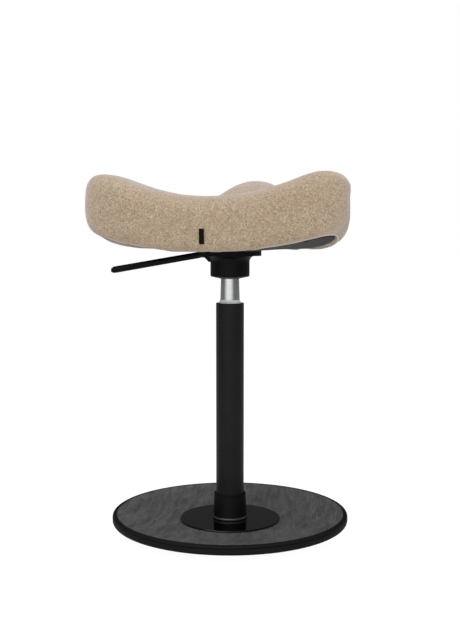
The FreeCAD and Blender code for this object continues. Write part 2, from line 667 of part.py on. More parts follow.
def slab(inset, low, high):
    """Thin curved board that follows the seat's lower face between two offsets from it."""
    wires = []
    for x in stations(SEAT_HALF_WIDTH - inset, 87, 10):
        rear, front = plan(x, inset)
        corners = [V(x, rear, underside(x, rear) + low), V(x, front, underside(x, front) + low),
                   V(x, front, underside(x, front) + high), V(x, rear, underside(x, rear) + high)]
        wires.append(Part.makePolygon(corners + corners[:1]))
    return Part.makeLoft(wires, True, True)


def seat_cushion():
    """Upholstered saddle with a pocket below for the board and its cover."""
    body = Part.makeLoft([seat_section(x) for x in stations(SEAT_HALF_WIDTH, 86, 10)], True, False)
    return body.cut(slab(POCKET_INSET - SOFT_GAP, -POCKET_DEPTH, POCKET_DEPTH))


def cover_screw_places():
    """Places of the small screws that hold the cover, mirrored to both sides."""
    places = []
    for x, end in COVER_SCREW_SPOTS:
        rear, front = plan(x, POCKET_INSET + COVER_SCREW_MARGIN)
        y = front if end > 0 else rear
        places += [(x, y), (-x, y)]
    return places


def make_seat():
    """Cushion, board with its nuts, cover with its screws, and the bare label."""
    board = slab(POCKET_INSET, COVER_THICK, COVER_THICK + BOARD_THICK)
    cover = slab(POCKET_INSET, 0, COVER_THICK)
    nuts = []
    for x, y in around(SCREW_COUNT, SCREW_CIRCLE_DIA, 45):
        top = underside(x, y) + COVER_THICK + BOARD_THICK - SOFT_GAP
        bottom = top - BOARD_THICK + 2 * SOFT_GAP
        nut = rod(NUT_BARREL_DIA, bottom, top, x, y)
        nut = nut.fuse(rod(NUT_FLANGE_DIA, top - NUT_FLANGE_THICK, top, x, y))
        board = board.cut(rod(NUT_FLANGE_DIA, top - NUT_FLANGE_THICK, top + BOARD_THICK, x, y))
        board = board.cut(rod(NUT_BARREL_DIA, SEAT_BOTTOM, top, x, y))
        nuts.append(nut.cut(rod(SCREW_DIA, SEAT_BOTTOM, FLANGE_TOP + SCREW_BITE, x, y)).removeSplitter())
        cover = cover.cut(rod(SCREW_DIA + 2 * BOLT_PLAY, FLANGE_BOTTOM, top, x, y))
    screws = []
    for x, y in cover_screw_places():
        low = underside(x, y)
        head = rod(COVER_SCREW_HEAD_DIA, low, low + COVER_SCREW_HEAD_HEIGHT, x, y)
        screw = head.fuse(rod(COVER_SCREW_DIA, low, low + COVER_THICK + COVER_SCREW_BITE, x, y)).removeSplitter()
        sink = rod(COVER_SCREW_HEAD_DIA, low - COVER_THICK, low + COVER_SCREW_HEAD_HEIGHT, x, y)
        cover = cover.cut(screw).cut(sink)
        board = board.cut(screw)
        screws.append(screw)
    save("seat_cushion", seat_cushion())
    save("seat_board", board)
    save("board_nuts", *nuts)
    save("underside_cover", cover)
    save("cover_screws", *screws)
    save("rear_label", rear_label())


def rear_label():
    """Small label that follows the bulge of the rear face."""
    low = SEAT_BOTTOM + REAR_HEM
    high = SEAT_DIP_TOP - REAR_SHOULDER
    middle = (low + high) / 2
    radius = ((high - low) ** 2 / 4 + REAR_BULGE ** 2) / (2 * REAR_BULGE)
    centre = radius - SEAT_REAR
    outer = Part.makeCylinder(radius + SOFT_GAP + TAG_THICK, TAG_WIDTH, V(-TAG_WIDTH / 2, centre, middle), V(1, 0, 0))
    inner = Part.makeCylinder(radius + SOFT_GAP, TAG_WIDTH, V(-TAG_WIDTH / 2, centre, middle), V(1, 0, 0))
    window = Part.makeBox(TAG_WIDTH, REAR_HEM + radius / 4, TAG_HEIGHT,
                          V(-TAG_WIDTH / 2, -SEAT_REAR - REAR_HEM, TAG_BOTTOM))
    return outer.cut(inner).common(window)


os.makedirs("parts", exist_ok=True)
make_base()
make_rotor()
make_cylinder()
make_hub()
make_seat()
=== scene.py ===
import math

import bpy
from bpy.props import FloatProperty, FloatVectorProperty, PointerProperty
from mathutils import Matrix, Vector
from mathutils.bvhtree import BVHTree


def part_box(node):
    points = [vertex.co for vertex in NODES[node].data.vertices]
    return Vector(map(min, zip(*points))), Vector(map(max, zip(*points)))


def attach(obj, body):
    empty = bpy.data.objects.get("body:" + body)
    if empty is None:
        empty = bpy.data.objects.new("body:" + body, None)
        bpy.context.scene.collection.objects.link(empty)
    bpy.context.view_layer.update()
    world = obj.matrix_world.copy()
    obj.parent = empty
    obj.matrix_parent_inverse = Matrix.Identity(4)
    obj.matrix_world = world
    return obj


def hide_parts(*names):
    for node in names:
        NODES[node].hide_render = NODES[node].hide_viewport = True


bl_info = {
    "name": "Perch Stool",
    "version": (1, 0, 0),
    "blender": (4, 5, 0),
    "location": "3D View > Sidebar > Stool",
    "description": "Dresses a perch stool: saddle upholstery, black column and stained wooden base",
    "category": "Object",
}

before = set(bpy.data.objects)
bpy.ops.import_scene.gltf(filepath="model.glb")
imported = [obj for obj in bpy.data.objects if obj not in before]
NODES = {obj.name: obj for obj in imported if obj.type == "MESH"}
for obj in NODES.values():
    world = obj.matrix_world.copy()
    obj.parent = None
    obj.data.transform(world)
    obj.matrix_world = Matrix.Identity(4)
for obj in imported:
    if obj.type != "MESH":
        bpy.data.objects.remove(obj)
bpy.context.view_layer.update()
MM = 0.001

# The camera stands this far to the right of the seat's rear. The bright screen that the black parts
# mirror stands 13 degrees to the left of it.
CAMERA_SIDE = math.radians(15.5)
SCREEN_SIDE = CAMERA_SIDE - math.radians(13)

# Points along round beads
WELD_STEPS = 48
HEM_STEPS = 96


def linear(hex_colour):
    """Turn an sRGB hex colour such as "#A08060" into linear red, green and blue."""
    parts = [int(hex_colour[i:i + 2], 16) / 255 for i in (1, 3, 5)]
    return [c / 12.92 if c <= 0.04045 else ((c + 0.055) / 1.055) ** 2.4 for c in parts]


def colour_property(name, description, default):
    return FloatVectorProperty(name=name, description=description, subtype="COLOR", size=3, min=0, max=1,
                               default=linear(default))


def length_property(name, description, default, precision=4):
    return FloatProperty(name=name, description=description, subtype="DISTANCE", unit="LENGTH", min=0,
                         default=default, precision=precision)


def strength_property(name, description, default):
    return FloatProperty(name=name, description=description, default=default, min=0)


def power_property(name, description, default):
    return FloatProperty(name=name, description=description, subtype="POWER", unit="POWER", min=0,
                         default=default)


class StoolSizes(bpy.types.PropertyGroup):
    """Sizes of the parts that are shaped here, and of the patterns in their finishes."""
    voxel: length_property(
        "Cloth mesh", "Size of the upholstery's mesh before it is filled", 5 * MM)
    swell: length_property(
        "Swell", "Furthest that the foam pushes the cover out", 1.5 * MM)
    binding: length_property(
        "Binding", "Thickness of the rolled binding round the seat's lower edge", 2.8 * MM)
    binding_drop: length_property(
        "Binding drop", "How far the binding's middle hangs below the cover", 0.6 * MM)
    binding_inset: length_property(
        "Binding inset", "How far the binding lies inside the seat's outline", 19.5 * MM)
    yarn: length_property(
        "Yarn", "Width of the flecks that the two yarns make", 1.4 * MM)
    heather: length_property(
        "Heather", "Width of the slow changes in the yarn's colour", 16 * MM)
    edge_band: length_property(
        "Edge band", "Width of the lacquered band at the plate's upper edge", 7 * MM)
    lip: length_property(
        "Lip", "Height of the plate's rounded lip above the joint in its side", 4.2 * MM)
    # The dark joint is a painted shadow: a near-black band stands for the shade in a groove below the lip.
    joint: length_property(
        "Joint", "Half the height of the dark joint below the lip", 0.8 * MM)
    grain: length_property(
        "Grain", "Width of the ash's growth rings on the plate", 7 * MM)
    pore: length_property(
        "Pore", "Width of the open pores in the ash", 1.1 * MM)
    powder: length_property(
        "Powder texture", "Size of the bumps in the powder coat", 1.2 * MM)
    weld: length_property(
        "Weld", "Thickness of the ground weld at the sleeve's foot", 4.4 * MM)


class StoolColours(bpy.types.PropertyGroup):
    """Colours of the finishes."""
    yarn_light: colour_property("Light yarn", "Pale yarn of the upholstery", "#D6C4AC")
    yarn_mid: colour_property("Middle yarn", "Main yarn of the upholstery", "#B29C82")
    yarn_dark: colour_property("Dark yarn", "Brown yarn of the upholstery", "#80694D")
    # Paler than the yarns: this pale colour is a painted highlight of the rolled binding catching light.
    binding: colour_property("Binding", "Rolled binding along the seat's lower edge", "#DCC9B8")
    ash_dark: colour_property("Stained ash, late wood", "Darker part of the stained grain", "#4C4C4D")
    ash_light: colour_property("Stained ash, early wood", "Lighter part of the stained grain", "#676768")
    edge_lacquer: colour_property("Edge lacquer", "Matt lacquer on the plate's edge", "#1C1C1D")
    black_coat: colour_property("Black coat", "Powder coat of the sleeve and the lever's arm", "#0E0E0F")
    tube_coat: colour_property("Tube coat", "Powder coat of the column tube", "#1C1C1D")
    disc_coat: colour_property("Disc coat", "Glossy powder coat of the disc", "#020202")
    # Lighter than the black coat: a painted highlight of the weld ring.
    painted_highlight_weld_coat: colour_property("Weld coat", "Powder coat on the weld", "#383839")
    nylon: colour_property("Black nylon", "Moulded lever grip and hub", "#090909")
    acetal: colour_property("Natural acetal", "Guide bushing at the tube's top", "#F4F5F5")
    felt: colour_property("Felt", "Cover under the seat", "#0F1015")
    label: colour_property("Label", "Woven label at the rear", "#0E0C09")
    steel: colour_property("Steel", "Bare and zinc-plated steel", "#B8B8B6")
    chrome: colour_property("Chrome", "Gas spring's cylinder", "#C4C6C7")
    oxide: colour_property("Black oxide", "Screws under the seat", "#1C1C1E")


class StoolStudio(bpy.types.PropertyGroup):
    """Camera and light."""
    lens: FloatProperty(
        name="Lens", description="Focal length for a picture 24 mm high", default=37.758, min=10)
    distance: length_property("Distance", "From the camera to the stool's axis", 1.55)
    height: length_property("Height", "Camera above the floor", 0.4611)
    pitch: FloatProperty(
        name="Pitch", description="How far the camera looks down", subtype="ANGLE",
        default=math.radians(4.98))
    room: strength_property("Room light", "Strength of the light from all round", 0.5)
    wall: strength_property("Wall", "Brightness of the walls in reflections", 0.07)
    screen: strength_property("Screen", "Brightness of the screen in reflections", 1.9)
    floor_glow: strength_property("Floor glow", "Brightness of the floor as the camera sees it", 1.18)
    top_light: power_property("Top light", "Power of the softbox above", 22.5)
    left_light: power_property("Left light", "Power of the softbox left of the camera", 14.0)
    right_light: power_property("Right light", "Power of the softbox on the right", 10.0)
    floor: length_property("Floor size", "Side of the floor", 30.0)


# Stretches a pattern into level rings round the upright.
RINGS = (0.02, 0.02, 1)

# Scale of a wave pattern whose bands repeat once in a metre
WAVE = 0.31

# A mix node's settings, and the numbers of its factor and colour sockets
MIX = {"data_type": "RGBA", "blend_type": "MIX"}
MULTIPLY = {"data_type": "RGBA", "blend_type": "MULTIPLY"}
FACTOR, FIRST, SECOND, MIXED = 0, 6, 7, 2


def grey(value):
    return (value, value, value)


def scaled(colour, share):
    return [part * share for part in colour]


def set_stops(elements, stops):
    """Give a colour ramp its stops; each is a place from 0 to 1 and a linear colour."""
    while len(elements) < len(stops):
        elements.new(1)
    for element, (at, colour) in zip(elements, stops):
        element.position = at
        element.color = (*colour, 1)


def add(tree, kind, settings=None, values=None, links=None):
    """Add a shader node with its settings, its sockets' values and what is linked into them.

    A link comes from a node's first output, or from a pair of a node and an output's name or number.
    """
    node = tree.nodes.new(kind)
    for name, value in (settings or {}).items():
        if name == "stops":
            set_stops(node.color_ramp.elements, value)
        else:
            setattr(node, name, value)
    for socket, value in (values or {}).items():
        node.inputs[socket].default_value = value
    for socket, source in (links or {}).items():
        origin, output = source if isinstance(source, tuple) else (source, 0)
        tree.links.new(origin.outputs[output], node.inputs[socket])
    return node


def new_finish(name):
    """Start a material without nodes."""
    material = bpy.data.materials.new(name)
    material.use_nodes = True
    material.node_tree.nodes.clear()
    return material, material.node_tree


def on_piece(tree):
    """Places on the piece, in metres."""
    return add(tree, "ShaderNodeTexCoord"), "Object"


def stretched(tree, stretch, turn=0.0):
    """Places on the piece, turned about the upright and then stretched for a pattern."""
    turned = add(tree, "ShaderNodeVectorRotate", {"rotation_type": "Z_AXIS"}, {"Angle": turn},
                 {"Vector": on_piece(tree)})
    return add(tree, "ShaderNodeMapping", values={"Scale": stretch}, links={"Vector": turned})


def wool_blend_weave(name, sizes, dark, middle, light):
    """Heavy wool blend of a pale and a brown yarn: matt flecks, and a short nap that catches light."""
    material, tree = new_finish(name)
    place = on_piece(tree)
    # The real yarns are about 1 mm, too fine for the picture, so the flecks are drawn at 1.4 mm.
    flecks = add(tree, "ShaderNodeTexVoronoi", values={"Scale": 1 / sizes.yarn, "Randomness": 0.85},
                 links={"Vector": place})
    pick = add(tree, "ShaderNodeSeparateColor", links={"Color": (flecks, "Color")})
    yarns = add(tree, "ShaderNodeValToRGB",
                {"stops": ((0.0, dark), (0.3, middle), (0.7, middle), (1.0, light))}, links={"Fac": pick})
    clouds = add(tree, "ShaderNodeTexNoise", values={"Scale": 1 / sizes.heather, "Detail": 3},
                 links={"Vector": place})
    heather = add(tree, "ShaderNodeValToRGB", {"stops": ((0.3, grey(0.95)), (0.7, grey(1.04)))},
                  links={"Fac": clouds})
    heathered = add(tree, "ShaderNodeMix", MULTIPLY, {FACTOR: 1.0}, {FIRST: yarns, SECOND: heather})
    fibres = add(tree, "ShaderNodeTexNoise", values={"Scale": 2.2 / sizes.yarn, "Detail": 1},
                 links={"Vector": place})
    fine = add(tree, "ShaderNodeValToRGB", {"stops": ((0.35, dark), (0.65, light))}, links={"Fac": fibres})
    shade = add(tree, "ShaderNodeMix", MIX, {FACTOR: 0.3}, {FIRST: (heathered, MIXED), SECOND: fine})
    raised = add(tree, "ShaderNodeBump", values={"Distance": -0.2 * sizes.yarn}, links={"Height": flecks})
    relief = add(tree, "ShaderNodeBump", values={"Distance": 0.1 * sizes.yarn},
                 links={"Height": fibres, "Normal": raised})
    surface = add(tree, "ShaderNodeBsdfPrincipled",
                  values={"Roughness": 0.92, "Specular IOR Level": 0.15, "Sheen Weight": 0.65,
                          "Sheen Roughness": 0.5, "Sheen Tint": (1.0, 0.95, 1.0, 1)},
                  links={"Base Color": (shade, MIXED), "Normal": relief})
    add(tree, "ShaderNodeOutputMaterial", links={"Surface": surface})
    return material


def black_stained_ash(sizes, colours, veneer_radius, joint_level):
    """Ash veneer, stained black and lacquered satin: the open grain still shows as faint streaks and dots."""
    material, tree = new_finish("black_stained_ash")
    # The grain runs almost from the rear to the nose.
    turn = math.radians(82)
    rings = add(tree, "ShaderNodeTexNoise",
                values={"Scale": 1 / sizes.grain, "Detail": 4, "Roughness": 0.6, "Distortion": 0.9},
                links={"Vector": stretched(tree, (0.14, 1, 1), turn)})
    pores = add(tree, "ShaderNodeTexNoise", values={"Scale": 1 / sizes.pore, "Roughness": 0.7},
                links={"Vector": stretched(tree, (0.06, 1, 1), turn)})
    clouds = add(tree, "ShaderNodeTexNoise",
                 values={"Scale": 1 / (28 * MM), "Detail": 4, "Roughness": 0.6, "Distortion": 0.4},
                 links={"Vector": stretched(tree, (0.5, 1, 1), turn)})
    wood = add(tree, "ShaderNodeValToRGB", {"stops": ((0.35, colours.ash_dark), (0.65, colours.ash_light))},
               links={"Fac": rings})
    stain = add(tree, "ShaderNodeValToRGB", {"stops": ((0.3, grey(0.86)), (0.7, grey(1.18)))},
                links={"Fac": clouds})
    dots = add(tree, "ShaderNodeValToRGB", {"stops": ((0.36, grey(0.88)), (0.5, grey(1.0)))},
               links={"Fac": pores})
    stained = add(tree, "ShaderNodeMix", MULTIPLY, {FACTOR: 1.0}, {FIRST: wood, SECOND: stain})
    veneer = add(tree, "ShaderNodeMix", MULTIPLY, {FACTOR: 1.0}, {FIRST: (stained, MIXED), SECOND: dots})
    # The veneer ends where the edge begins to turn. A lacquered lip follows, then a near-black band at the
    # joint that is painted shadow of a groove, then the side.
    fade = 0.5 * MM
    place = on_piece(tree)
    flat = add(tree, "ShaderNodeVectorMath", {"operation": "MULTIPLY"}, {1: (1, 1, 0)}, {0: place})
    reach = add(tree, "ShaderNodeVectorMath", {"operation": "LENGTH"}, links={0: flat})
    edge = add(tree, "ShaderNodeMapRange",
               values={"From Min": veneer_radius - fade, "From Max": veneer_radius + fade},
               links={"Value": (reach, "Value")})
    height = add(tree, "ShaderNodeSeparateXYZ", links={"Vector": place})
    below = add(tree, "ShaderNodeMapRange",
                values={"From Min": joint_level - sizes.joint, "From Max": joint_level + sizes.joint},
                links={"Value": (height, "Z")})
    # Near-black painted shadow, standing for the shade in the groove at the joint.
    painted_groove_shadow = grey(0.0005)
    lip = colours.edge_lacquer
    lacquer = add(tree, "ShaderNodeValToRGB", {"stops": ((0.0, lip), (0.3, painted_groove_shadow), (0.7, painted_groove_shadow), (1.0, lip))},
                  links={"Fac": below})
    shade = add(tree, "ShaderNodeMix", MIX, links={FACTOR: edge, FIRST: (veneer, MIXED), SECOND: lacquer})
    gloss = add(tree, "ShaderNodeValToRGB", {"stops": ((0.35, grey(0.66)), (0.55, grey(0.5)))},
                links={"Fac": pores})
    shine = add(tree, "ShaderNodeMapRange", values={"To Min": 0.4, "To Max": 0.05}, links={"Value": edge})
    pitted = add(tree, "ShaderNodeBump", values={"Distance": 0.06 * MM}, links={"Height": pores})
    relief = add(tree, "ShaderNodeBump", values={"Distance": 0.15 * MM},
                 links={"Height": rings, "Normal": pitted})
    surface = add(tree, "ShaderNodeBsdfPrincipled",
                  links={"Base Color": (shade, MIXED), "Roughness": gloss, "Specular IOR Level": shine,
                         "Normal": relief})
    add(tree, "ShaderNodeOutputMaterial", links={"Surface": surface})
    return material


def powder_coat(name, sizes, colour, roughness, depth, shine):
    """Powder coat baked on steel: even black with a fine pebbled skin, so highlights are broad and soft."""
    material, tree = new_finish(name)
    place = on_piece(tree)
    pebbles = add(tree, "ShaderNodeTexNoise", values={"Scale": 1 / sizes.powder}, links={"Vector": place})
    dust = add(tree, "ShaderNodeTexNoise", values={"Scale": 1 / (30 * MM), "Detail": 4},
               links={"Vector": place})
    film = add(tree, "ShaderNodeValToRGB", {"stops": ((0.3, grey(0.85)), (0.7, grey(1.15)))},
               links={"Fac": dust})
    shade = add(tree, "ShaderNodeMix", MULTIPLY, {FACTOR: 1.0, FIRST: (*colour, 1)}, {SECOND: film})
    gloss = add(tree, "ShaderNodeValToRGB",
                {"stops": ((0.3, grey(roughness - 0.04)), (0.7, grey(roughness + 0.05)))},
                links={"Fac": dust})
    relief = add(tree, "ShaderNodeBump", values={"Distance": depth}, links={"Height": pebbles})
    surface = add(tree, "ShaderNodeBsdfPrincipled", values={"Specular IOR Level": shine},
                  links={"Base Color": (shade, MIXED), "Roughness": gloss, "Normal": relief})
    add(tree, "ShaderNodeOutputMaterial", links={"Surface": surface})
    return material


def moulded_nylon(name, colour, roughness):
    """Black glass-filled nylon from a spark-eroded mould: fine even texture and a dull shine."""
    material, tree = new_finish(name)
    place = on_piece(tree)
    texture = add(tree, "ShaderNodeTexNoise", values={"Scale": 1 / (0.9 * MM)}, links={"Vector": place})
    flow = add(tree, "ShaderNodeTexNoise", values={"Scale": 1 / (20 * MM), "Detail": 3},
               links={"Vector": place})
    film = add(tree, "ShaderNodeValToRGB", {"stops": ((0.3, grey(0.8)), (0.7, grey(1.2)))},
               links={"Fac": flow})
    shade = add(tree, "ShaderNodeMix", MULTIPLY, {FACTOR: 1.0, FIRST: (*colour, 1)}, {SECOND: film})
    gloss = add(tree, "ShaderNodeValToRGB",
                {"stops": ((0.3, grey(roughness - 0.05)), (0.7, grey(roughness + 0.07)))},
                links={"Fac": flow})
    relief = add(tree, "ShaderNodeBump", values={"Distance": 0.05 * MM}, links={"Height": texture})
    surface = add(tree, "ShaderNodeBsdfPrincipled", values={"Specular IOR Level": 0.12},
                  links={"Base Color": (shade, MIXED), "Roughness": gloss, "Normal": relief})
    add(tree, "ShaderNodeOutputMaterial", links={"Surface": surface})
    return material


def ground_chromed_steel(name, colour, roughness):
    """Steel turned and chromed: bright, with fine rings left round it by the grinding wheel."""
    material, tree = new_finish(name)
    rings = add(tree, "ShaderNodeTexNoise", values={"Scale": 1 / (1.6 * MM)},
                links={"Vector": stretched(tree, RINGS)})
    shade = add(tree, "ShaderNodeValToRGB", {"stops": ((0.35, scaled(colour, 0.94)), (0.65, colour))},
                links={"Fac": rings})
    gloss = add(tree, "ShaderNodeValToRGB",
                {"stops": ((0.3, grey(roughness + 0.06)), (0.7, grey(roughness)))}, links={"Fac": rings})
    relief = add(tree, "ShaderNodeBump", values={"Distance": 0.004 * MM}, links={"Height": rings})
    surface = add(tree, "ShaderNodeBsdfPrincipled", values={"Metallic": 1.0},
                  links={"Base Color": shade, "Roughness": gloss, "Normal": relief})
    add(tree, "ShaderNodeOutputMaterial", links={"Surface": surface})
    return material


def natural_acetal(colour):
    """Natural acetal, turned on a lathe: milky white, with faint rings and a waxy shine."""
    material, tree = new_finish("natural_acetal")
    rings = add(tree, "ShaderNodeTexNoise", values={"Scale": 1 / (1.2 * MM)},
                links={"Vector": stretched(tree, RINGS)})
    shade = add(tree, "ShaderNodeValToRGB", {"stops": ((0.3, scaled(colour, 0.9)), (0.7, colour))},
                links={"Fac": rings})
    relief = add(tree, "ShaderNodeBump", values={"Distance": 0.03 * MM}, links={"Height": rings})
    surface = add(tree, "ShaderNodeBsdfPrincipled", values={"Roughness": 0.35, "Specular IOR Level": 0.6},
                  links={"Base Color": shade, "Normal": relief})
    add(tree, "ShaderNodeOutputMaterial", links={"Surface": surface})
    return material


def plated_steel(name, colour):
    """Plated screws and nuts: metal under a cloudy passivated skin, worn a little duller in places."""
    material, tree = new_finish(name)
    clouds = add(tree, "ShaderNodeTexNoise", values={"Scale": 1 / (3 * MM), "Detail": 3},
                 links={"Vector": on_piece(tree)})
    shade = add(tree, "ShaderNodeValToRGB", {"stops": ((0.3, scaled(colour, 0.7)), (0.7, colour))},
                links={"Fac": clouds})
    gloss = add(tree, "ShaderNodeValToRGB", {"stops": ((0.3, grey(0.5)), (0.7, grey(0.34)))},
                links={"Fac": clouds})
    surface = add(tree, "ShaderNodeBsdfPrincipled", values={"Metallic": 1.0},
                  links={"Base Color": shade, "Roughness": gloss})
    add(tree, "ShaderNodeOutputMaterial", links={"Surface": surface})
    return material


def needle_felt(colour):
    """Needled polyester felt, dark blue-grey: quite matt, with short fibres that lie in all directions."""
    material, tree = new_finish("needle_felt")
    fibres = add(tree, "ShaderNodeTexNoise",
                 values={"Scale": 1 / (1.8 * MM), "Detail": 3, "Roughness": 0.7, "Distortion": 1.5},
                 links={"Vector": on_piece(tree)})
    shade = add(tree, "ShaderNodeValToRGB",
                {"stops": ((0.3, scaled(colour, 0.75)), (0.7, scaled(colour, 1.3)))}, links={"Fac": fibres})
    relief = add(tree, "ShaderNodeBump", values={"Distance": 0.3 * MM}, links={"Height": fibres})
    surface = add(tree, "ShaderNodeBsdfPrincipled",
                  values={"Roughness": 0.88, "Specular IOR Level": 0.2, "Sheen Weight": 0.12,
                          "Sheen Roughness": 0.5},
                  links={"Base Color": shade, "Normal": relief})
    add(tree, "ShaderNodeOutputMaterial", links={"Surface": surface})
    return material


def woven_tape(colour):
    """Label tape, woven black with fine ribs across it and no lettering."""
    material, tree = new_finish("woven_label_tape")
    # Ribs at 1.2 mm, about twice the real thread, so that they show.
    ribs = add(tree, "ShaderNodeTexWave", {"bands_direction": "Z"}, {"Scale": WAVE / (1.2 * MM)},
               {"Vector": on_piece(tree)})
    shade = add(tree, "ShaderNodeValToRGB",
                {"stops": ((0.2, scaled(colour, 0.6)), (0.8, scaled(colour, 1.6)))},
                links={"Fac": (ribs, "Fac")})
    relief = add(tree, "ShaderNodeBump", values={"Distance": 0.2 * MM}, links={"Height": (ribs, "Fac")})
    surface = add(tree, "ShaderNodeBsdfPrincipled", values={"Roughness": 0.8, "Specular IOR Level": 0.15},
                  links={"Base Color": shade, "Normal": relief})
    add(tree, "ShaderNodeOutputMaterial", links={"Surface": surface})
    return material


def nitrile_rubber():
    """Black rubber, moulded: dull, with a greyish bloom in places."""
    material, tree = new_finish("nitrile_rubber")
    place = on_piece(tree)
    bloom = add(tree, "ShaderNodeTexNoise", values={"Scale": 1 / (8 * MM), "Detail": 4},
                links={"Vector": place})
    shade = add(tree, "ShaderNodeValToRGB", {"stops": ((0.35, grey(0.012)), (0.75, grey(0.03)))},
                links={"Fac": bloom})
    skin = add(tree, "ShaderNodeTexNoise", values={"Scale": 1 / (0.6 * MM), "Detail": 1},
               links={"Vector": place})
    relief = add(tree, "ShaderNodeBump", values={"Distance": 0.04 * MM}, links={"Height": skin})
    surface = add(tree, "ShaderNodeBsdfPrincipled", values={"Roughness": 0.75},
                  links={"Base Color": shade, "Normal": relief})
    add(tree, "ShaderNodeOutputMaterial", links={"Surface": surface})
    return material


def turned_brass():
    """Brass turned on a lathe: yellow metal with fine rings."""
    material, tree = new_finish("turned_brass")
    rings = add(tree, "ShaderNodeTexNoise", values={"Scale": 1 / (0.8 * MM), "Detail": 1},
                links={"Vector": stretched(tree, RINGS)})
    shade = add(tree, "ShaderNodeValToRGB", {"stops": ((0.3, linear("#B08A42")), (0.7, linear("#D2AC62")))},
                links={"Fac": rings})
    surface = add(tree, "ShaderNodeBsdfPrincipled", values={"Metallic": 1.0, "Roughness": 0.3},
                  links={"Base Color": shade})
    add(tree, "ShaderNodeOutputMaterial", links={"Surface": surface})
    return material


def birch_plywood():
    """Raw birch plywood: pale, with thin plies at its edges."""
    material, tree = new_finish("birch_plywood")
    grain = add(tree, "ShaderNodeTexNoise",
                values={"Scale": 1 / (4 * MM), "Detail": 4, "Roughness": 0.6, "Distortion": 0.5},
                links={"Vector": stretched(tree, (0.1, 1, 1))})
    # Plies are 1.4 mm thick, light and dark by turns.
    plies = add(tree, "ShaderNodeTexWave", {"bands_direction": "Z"}, {"Scale": WAVE / (2.8 * MM)},
                {"Vector": on_piece(tree)})
    wood = add(tree, "ShaderNodeValToRGB", {"stops": ((0.3, linear("#B8925F")), (0.7, linear("#DABD90")))},
               links={"Fac": grain})
    layers = add(tree, "ShaderNodeValToRGB", {"stops": ((0.2, grey(0.78)), (0.8, grey(1.0)))},
                 links={"Fac": (plies, "Fac")})
    shade = add(tree, "ShaderNodeMix", MULTIPLY, {FACTOR: 1.0}, {FIRST: wood, SECOND: layers})
    relief = add(tree, "ShaderNodeBump", values={"Distance": 0.1 * MM}, links={"Height": grain})
    surface = add(tree, "ShaderNodeBsdfPrincipled", values={"Roughness": 0.7},
                  links={"Base Color": (shade, MIXED), "Normal": relief})
    add(tree, "ShaderNodeOutputMaterial", links={"Surface": surface})
    return material


def dress(material, *names):
    """Give nodes of the frame, or new pieces, this finish."""
    for name in names:
        piece = NODES.get(name) or bpy.data.objects[name]
        if not piece.data.materials:
            piece.data.materials.append(material)
        for slot in piece.material_slots:
            slot.material = material


def shade_smooth(piece, angle=math.radians(40)):
    """Smooth the curved faces and keep the edges sharper than this angle."""
    with bpy.context.temp_override(object=piece, active_object=piece, selected_editable_objects=[piece]):
        bpy.ops.object.shade_smooth_by_angle(angle=angle)


def new_piece(name, mesh):
    """Put a mesh, curve, lamp or camera into the scene."""
    piece = bpy.data.objects.new(name, mesh)
    bpy.context.collection.objects.link(piece)
    return piece


def bead(name, points, radius, closed=True):
    """Round bead along a smooth line through these points."""
    curve = bpy.data.curves.new(name, "CURVE")
    curve.dimensions = "3D"
    curve.bevel_depth = radius
    curve.bevel_resolution = 3
    spline = curve.splines.new("NURBS")
    spline.points.add(len(points) - 1)
    for target, point in zip(spline.points, points):
        target.co = (*point, 1)
    spline.use_cyclic_u = closed
    spline.order_u = 3
    spline.use_endpoint_u = not closed
    return new_piece(name, curve)


def make_real(piece):
    """Turn what a piece's modifiers give into its mesh."""
    bpy.context.view_layer.update()
    shaped = bpy.data.meshes.new_from_object(piece.evaluated_get(bpy.context.evaluated_depsgraph_get()))
    piece.modifiers.clear()
    piece.data = shaped


def remeshed_copy(node, name, voxel):
    """Copy a node's mesh into a new piece of even quads."""
    piece = new_piece(name, NODES[node].data.copy())
    piece.data.materials.clear()
    remesh = piece.modifiers.new("even_quads", "REMESH")
    remesh.mode = "VOXEL"
    remesh.voxel_size = voxel
    make_real(piece)
    piece.data.name = name
    return piece


def settle(piece, rounds):
    """Even out the mesh a little, as a tight cover does."""
    smooth = piece.modifiers.new("even_out", "SMOOTH")
    smooth.factor = 0.5
    smooth.iterations = rounds
    make_real(piece)


def fill_with_foam(piece, swell, held):
    """Press the cover out from inside, hold the points for which held is true, and cap the movement."""
    group = piece.vertex_groups.new(name="held")
    group.add([v.index for v in piece.data.vertices if held(v.co)], 1.0, "REPLACE")
    cloth = piece.modifiers.new("cover", "CLOTH")
    cloth.settings.quality = 6
    cloth.settings.mass = 0.3
    cloth.settings.tension_stiffness = 25
    cloth.settings.compression_stiffness = 25
    cloth.settings.bending_stiffness = 2
    cloth.settings.use_pressure = True
    cloth.settings.uniform_pressure_force = 4
    cloth.settings.vertex_group_mass = "held"
    cloth.settings.effector_weights.gravity = 0
    cloth.collision_settings.use_collision = False
    scene = bpy.context.scene
    for frame in range(1, 21):
        scene.frame_set(frame)
    moved = piece.evaluated_get(bpy.context.evaluated_depsgraph_get()).data.vertices
    places = []
    for rest, now in zip(piece.data.vertices, moved):
        step = now.co - rest.co
        if step.length > swell:
            step *= swell / step.length
        places.append(rest.co + step)
    piece.modifiers.clear()
    scene.frame_set(1)
    for vertex, place in zip(piece.data.vertices, places):
        vertex.co = place


